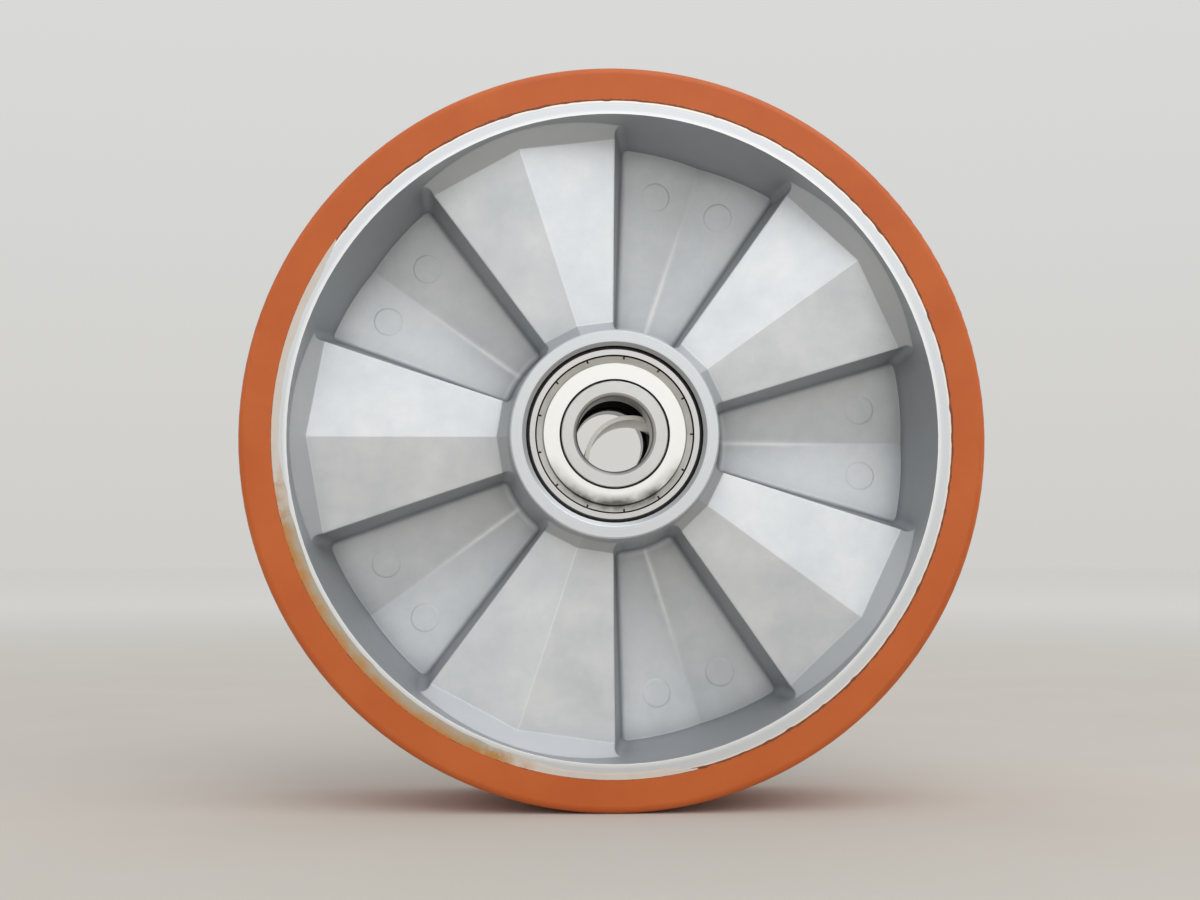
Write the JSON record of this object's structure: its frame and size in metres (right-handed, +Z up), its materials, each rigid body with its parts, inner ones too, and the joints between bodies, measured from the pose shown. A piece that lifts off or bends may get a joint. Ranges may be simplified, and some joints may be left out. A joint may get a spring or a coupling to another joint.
{
  "type": "pallet truck wheel",
  "caption": "Pallet truck steering wheel: orange polyurethane tyre on a cast aluminium core with a folded web, turning on shielded ball bearings with a loose spacer tube between them.",
  "frame": {"origin": "centre of the wheel on its axle line, midway between its two faces", "axes": "+Y along the axle towards the rear face, +Z up, +X to the right seen from the front"},
  "size_m": [0.2, 0.058, 0.2],
  "materials": {
    "cast_aluminium": "die cast, satin",
    "orange_polyurethane": "moulded, satin",
    "bearing_steel": "ground",
    "shield_steel": "pressed",
    "cage_steel": "pressed",
    "ball_steel": "polished",
    "tube_steel": "drawn"
  },
  "bodies": {
    "front_axle_side": {"front_inner_ring": "bearing_steel"},
    "wheel": {"wheel_core": "cast_aluminium", "tyre": "orange_polyurethane", "spacer_tube": "tube_steel", "front_outer_ring": "bearing_steel", "front_outer_shield": "shield_steel", "front_inner_shield": "shield_steel", "rear_outer_ring": "bearing_steel", "rear_outer_shield": "shield_steel", "rear_inner_shield": "shield_steel"},
    "rear_axle_side": {"rear_inner_ring": "bearing_steel"},
    "front_cage": {"front_cage_outer": "cage_steel", "front_cage_inner": "cage_steel", "front_cage_rivets": "cage_steel"},
    "front_ball_1": {"front_ball_1": "ball_steel"},
    "front_ball_2": {"front_ball_2": "ball_steel"},
    "front_ball_3": {"front_ball_3": "ball_steel"},
    "front_ball_4": {"front_ball_4": "ball_steel"},
    "front_ball_5": {"front_ball_5": "ball_steel"},
    "front_ball_6": {"front_ball_6": "ball_steel"},
    "front_ball_7": {"front_ball_7": "ball_steel"},
    "front_ball_8": {"front_ball_8": "ball_steel"},
    "rear_cage": {"rear_cage_outer": "cage_steel", "rear_cage_inner": "cage_steel", "rear_cage_rivets": "cage_steel"},
    "rear_ball_1": {"rear_ball_1": "ball_steel"},
    "rear_ball_2": {"rear_ball_2": "ball_steel"},
    "rear_ball_3": {"rear_ball_3": "ball_steel"},
    "rear_ball_4": {"rear_ball_4": "ball_steel"},
    "rear_ball_5": {"rear_ball_5": "ball_steel"},
    "rear_ball_6": {"rear_ball_6": "ball_steel"},
    "rear_ball_7": {"rear_ball_7": "ball_steel"},
    "rear_ball_8": {"rear_ball_8": "ball_steel"}
  },
  "joints": [
    {"name": "wheel_spin", "type": "hinge", "parent": "front_axle_side", "child": "wheel", "pos_m": [0, 0, 0], "axis": [0, 1, 0], "continuous": true},
    {"name": "rear_ring_spin", "type": "hinge", "parent": "wheel", "child": "rear_axle_side", "pos_m": [0, 0.0212, 0], "axis": [0, 1, 0], "continuous": true},
    {"name": "front_cage_spin", "type": "hinge", "parent": "front_axle_side", "child": "front_cage", "pos_m": [0, -0.0212, 0], "axis": [0, 1, 0], "continuous": true},
    {"name": "front_ball_1_spin", "type": "hinge", "parent": "front_cage", "child": "front_ball_1", "pos_m": [0.01184, -0.0212, 0.01184], "axis": [0, 1, 0], "continuous": true},
    {"name": "front_ball_2_spin", "type": "hinge", "parent": "front_cage", "child": "front_ball_2", "pos_m": [0, -0.0212, 0.01675], "axis": [0, 1, 0], "continuous": true},
    {"name": "front_ball_3_spin", "type": "hinge", "parent": "front_cage", "child": "front_ball_3", "pos_m": [-0.01184, -0.0212, 0.01184], "axis": [0, 1, 0], "continuous": true},
    {"name": "front_ball_4_spin", "type": "hinge", "parent": "front_cage", "child": "front_ball_4", "pos_m": [-0.01675, -0.0212, 0], "axis": [0, 1, 0], "continuous": true},
    {"name": "front_ball_5_spin", "type": "hinge", "parent": "front_cage", "child": "front_ball_5", "pos_m": [-0.01184, -0.0212, -0.01184], "axis": [0, 1, 0], "continuous": true},
    {"name": "front_ball_6_spin", "type": "hinge", "parent": "front_cage", "child": "front_ball_6", "pos_m": [0, -0.0212, -0.01675], "axis": [0, 1, 0], "continuous": true},
    {"name": "front_ball_7_spin", "type": "hinge", "parent": "front_cage", "child": "front_ball_7", "pos_m": [0.01184, -0.0212, -0.01184], "axis": [0, 1, 0], "continuous": true},
    {"name": "front_ball_8_spin", "type": "hinge", "parent": "front_cage", "child": "front_ball_8", "pos_m": [0.01675, -0.0212, 0], "axis": [0, 1, 0], "continuous": true},
    {"name": "rear_cage_spin", "type": "hinge", "parent": "wheel", "child": "rear_cage", "pos_m": [0, 0.0212, 0], "axis": [0, 1, 0], "continuous": true},
    {"name": "rear_ball_1_spin", "type": "hinge", "parent": "rear_cage", "child": "rear_ball_1", "pos_m": [-0.01184, 0.0212, 0.01184], "axis": [0, 1, 0], "continuous": true},
    {"name": "rear_ball_2_spin", "type": "hinge", "parent": "rear_cage", "child": "rear_ball_2", "pos_m": [0, 0.0212, 0.01675], "axis": [0, 1, 0], "continuous": true},
    {"name": "rear_ball_3_spin", "type": "hinge", "parent": "rear_cage", "child": "rear_ball_3", "pos_m": [0.01184, 0.0212, 0.01184], "axis": [0, 1, 0], "continuous": true},
    {"name": "rear_ball_4_spin", "type": "hinge", "parent": "rear_cage", "child": "rear_ball_4", "pos_m": [0.01675, 0.0212, 0], "axis": [0, 1, 0], "continuous": true},
    {"name": "rear_ball_5_spin", "type": "hinge", "parent": "rear_cage", "child": "rear_ball_5", "pos_m": [0.01184, 0.0212, -0.01184], "axis": [0, 1, 0], "continuous": true},
    {"name": "rear_ball_6_spin", "type": "hinge", "parent": "rear_cage", "child": "rear_ball_6", "pos_m": [0, 0.0212, -0.01675], "axis": [0, 1, 0], "continuous": true},
    {"name": "rear_ball_7_spin", "type": "hinge", "parent": "rear_cage", "child": "rear_ball_7", "pos_m": [-0.01184, 0.0212, -0.01184], "axis": [0, 1, 0], "continuous": true},
    {"name": "rear_ball_8_spin", "type": "hinge", "parent": "rear_cage", "child": "rear_ball_8", "pos_m": [-0.01675, 0.0212, 0], "axis": [0, 1, 0], "continuous": true}
  ],
  "couplings": [
    {"joint": "front_cage_spin", "follows": "wheel_spin", "ratio": 0.61848},
    {"joint": "front_ball_1_spin", "follows": "wheel_spin", "ratio": 1.9916},
    {"joint": "front_ball_2_spin", "follows": "wheel_spin", "ratio": 1.9916},
    {"joint": "front_ball_3_spin", "follows": "wheel_spin", "ratio": 1.9916},
    {"joint": "front_ball_4_spin", "follows": "wheel_spin", "ratio": 1.9916},
    {"joint": "front_ball_5_spin", "follows": "wheel_spin", "ratio": 1.9916},
    {"joint": "front_ball_6_spin", "follows": "wheel_spin", "ratio": 1.9916},
    {"joint": "front_ball_7_spin", "follows": "wheel_spin", "ratio": 1.9916},
    {"joint": "front_ball_8_spin", "follows": "wheel_spin", "ratio": 1.9916},
    {"joint": "rear_cage_spin", "follows": "rear_ring_spin", "ratio": 0.38152},
    {"joint": "rear_ball_1_spin", "follows": "rear_ring_spin", "ratio": -1.9916},
    {"joint": "rear_ball_2_spin", "follows": "rear_ring_spin", "ratio": -1.9916},
    {"joint": "rear_ball_3_spin", "follows": "rear_ring_spin", "ratio": -1.9916},
    {"joint": "rear_ball_4_spin", "follows": "rear_ring_spin", "ratio": -1.9916},
    {"joint": "rear_ball_5_spin", "follows": "rear_ring_spin", "ratio": -1.9916},
    {"joint": "rear_ball_6_spin", "follows": "rear_ring_spin", "ratio": -1.9916},
    {"joint": "rear_ball_7_spin", "follows": "rear_ring_spin", "ratio": -1.9916},
    {"joint": "rear_ball_8_spin", "follows": "rear_ring_spin", "ratio": -1.9916}
  ]
}
